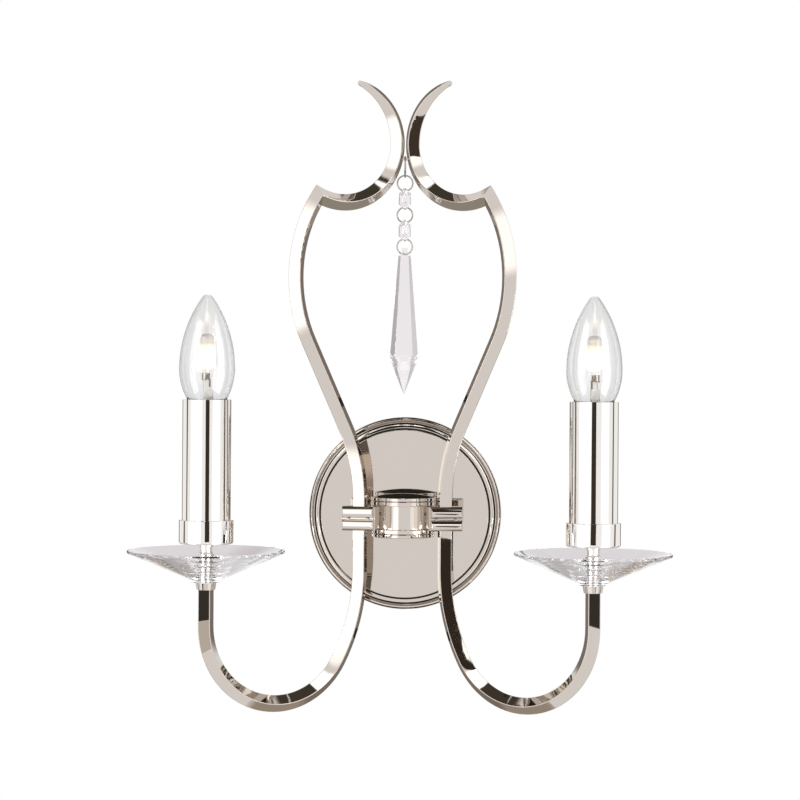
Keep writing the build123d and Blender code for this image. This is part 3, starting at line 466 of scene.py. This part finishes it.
floorPaint, tree = newMaterial("paleFloor")
dull = addNode(tree, "ShaderNodeBsdfDiffuse", {"Color": linear(studio["floor"])})
white = addNode(tree, "ShaderNodeEmission", {"Color": linear(studio["room"]), "Strength": 1.0})
straight = addNode(tree, "ShaderNodeLightPath").outputs["Is Camera Ray"]
share = addNode(tree, "ShaderNodeMapRange", {"Value": straight, "To Max": studio["floorGlow"]})
paint = addNode(tree, "ShaderNodeMixShader", {
    0: share.outputs["Result"], 1: dull.outputs["BSDF"], 2: white.outputs["Emission"]})
addNode(tree, "ShaderNodeOutputMaterial", {"Surface": paint.outputs["Shader"]})
floorMesh = bmesh.new()
bmesh.ops.create_circle(floorMesh, cap_ends=True, segments=studio["floorSides"],
                        radius=studio["floorRadius"], matrix=Matrix.Translation(studio["floorMiddle"]))
floor = stagePlane("floor", floorMesh, floorPaint)
floor.visible_glossy = floor.visible_transmission = False

# small cloths close to the light, seen only in its mirrors and from one side
# middle and size across and up in metres, tilt from lying face up, turn about Z
flags = {
    "legFlag": {"middle": (0.060, -0.140, -0.032), "size": (0.040, 0.028), "tiltDeg": 90,
                "turnDeg": -90, "colour": "#3A322C"},
    "hornFlag": {"middle": (0.060, -0.185, 0.235), "size": (0.060, 0.130), "tiltDeg": 90,
                 "turnDeg": -90, "colour": "#4A4038"},
    "leftHornFloor": {"middle": (-0.034, -0.059, 0.188), "size": (0.056, 0.058), "tiltDeg": 0,
                      "turnDeg": 0, "colour": "#A8A298"},
    "rightHornFloor": {"middle": (0.034, -0.059, 0.188), "size": (0.056, 0.058), "tiltDeg": 0,
                       "turnDeg": 0, "colour": "#A8A298"},
    "strapRoof": {"middle": (0.040, -0.088, 0.0115), "size": (0.044, 0.028), "tiltDeg": 180,
                  "turnDeg": 0, "colour": "#3A322C"},
    "rightFlag": {"middle": (0.1183, -0.155, 0.039), "size": (0.0089, 0.102), "tiltDeg": 90,
                  "turnDeg": 180, "colour": "#3A322C"},
    "leftFlag": {"middle": (-0.1150, -0.155, 0.039), "size": (0.0077, 0.102), "tiltDeg": 90,
                 "turnDeg": 180, "colour": "#3A322C"},
    "rightSeatFlag": {"middle": (0.150, -0.199, -0.058), "size": (0.050, 0.024), "tiltDeg": 90,
                      "turnDeg": -90, "colour": "#403C38"},
    "leftSeatFlag": {"middle": (-0.150, -0.187, -0.056), "size": (0.050, 0.022), "tiltDeg": 90,
                     "turnDeg": 90, "colour": "#403C38"},
    "leftBendFlag": {"middle": (-0.150, -0.192, -0.090), "size": (0.060, 0.046), "tiltDeg": 90,
                     "turnDeg": 90, "colour": "#DAD3CB"},
    "rightRimFlag": {"middle": (0.088, -0.014, 0.0), "size": (0.030, 0.176), "tiltDeg": 90,
                     "turnDeg": -90, "colour": "#3A332D"},
    "leftRimFlag": {"middle": (-0.088, -0.014, 0.0), "size": (0.030, 0.176), "tiltDeg": 90,
                    "turnDeg": 90, "colour": "#3A332D"},
    "topRimFlag": {"middle": (0.0, -0.014, 0.088), "size": (0.176, 0.030), "tiltDeg": 180,
                   "turnDeg": 0, "colour": "#3A332D"},
    "lowRimFlag": {"middle": (0.0, -0.014, -0.088), "size": (0.176, 0.030), "tiltDeg": 0,
                   "turnDeg": 0, "colour": "#3A332D"},
}
for name, look in flags.items():
    paint, tree = newMaterial(name + "Cloth")
    cloth = addNode(tree, "ShaderNodeEmission", {"Color": linear(look["colour"]), "Strength": 1.0})
    clear = addNode(tree, "ShaderNodeBsdfTransparent")
    behind = addNode(tree, "ShaderNodeNewGeometry").outputs["Backfacing"]
    face = addNode(tree, "ShaderNodeMixShader", {
        0: behind, 1: cloth.outputs["Emission"], 2: clear.outputs["BSDF"]})
    addNode(tree, "ShaderNodeOutputMaterial", {"Surface": face.outputs["Shader"]})
    turn, tilt = math.radians(look["turnDeg"]), math.radians(look["tiltDeg"])
    lean = Matrix.Rotation(turn, 4, "Z") @ Matrix.Rotation(tilt, 4, "X")
    place = Matrix.Translation(look["middle"]) @ lean @ Matrix.Diagonal((*look["size"], 1.0, 1.0))
    sheet = bmesh.new()
    bmesh.ops.create_grid(sheet, x_segments=1, y_segments=1, size=0.5, matrix=place)
    flag = stagePlane(name, sheet, paint)
    flag.visible_camera = flag.visible_diffuse = flag.visible_shadow = flag.visible_transmission = False

# lamps: soft light for the dull parts, place in metres and size across and up
lamps = {
    "leftLamp": {"place": (-1.45, -1.60, 0.60), "size": (1.4, 2.2), "energy": 12.0},
    "rightLamp": {"place": (1.65, -1.25, 0.60), "size": (1.6, 2.2), "energy": 10.0},
    "topLamp": {"place": (0.0, -1.00, 2.00), "size": (1.2, 0.8), "energy": 8.0},
}
aim = Vector((0.0, -0.08, 0.08))
for name, look in lamps.items():
    glow = bpy.data.lights.new(name, "AREA")
    glow.shape = "RECTANGLE"
    glow.size, glow.size_y = look["size"]
    glow.energy = look["energy"]
    lamp = bpy.data.objects.new(name, glow)
    spot = Vector(look["place"])
    facing = (aim - spot).to_track_quat("-Z", "Y").to_matrix().to_4x4()
    lamp.matrix_world = Matrix.Translation(spot) @ facing
    lamp.visible_camera = lamp.visible_glossy = lamp.visible_transmission = False
    bpy.context.scene.collection.objects.link(lamp)
print("studio lit")

scene = bpy.context.scene
scene.view_settings.view_transform = "Standard"
bounces = 24  # enough for the dishes, beads and drop
scene.cycles.max_bounces = scene.cycles.transmission_bounces = scene.cycles.glossy_bounces = bounces

print("done")
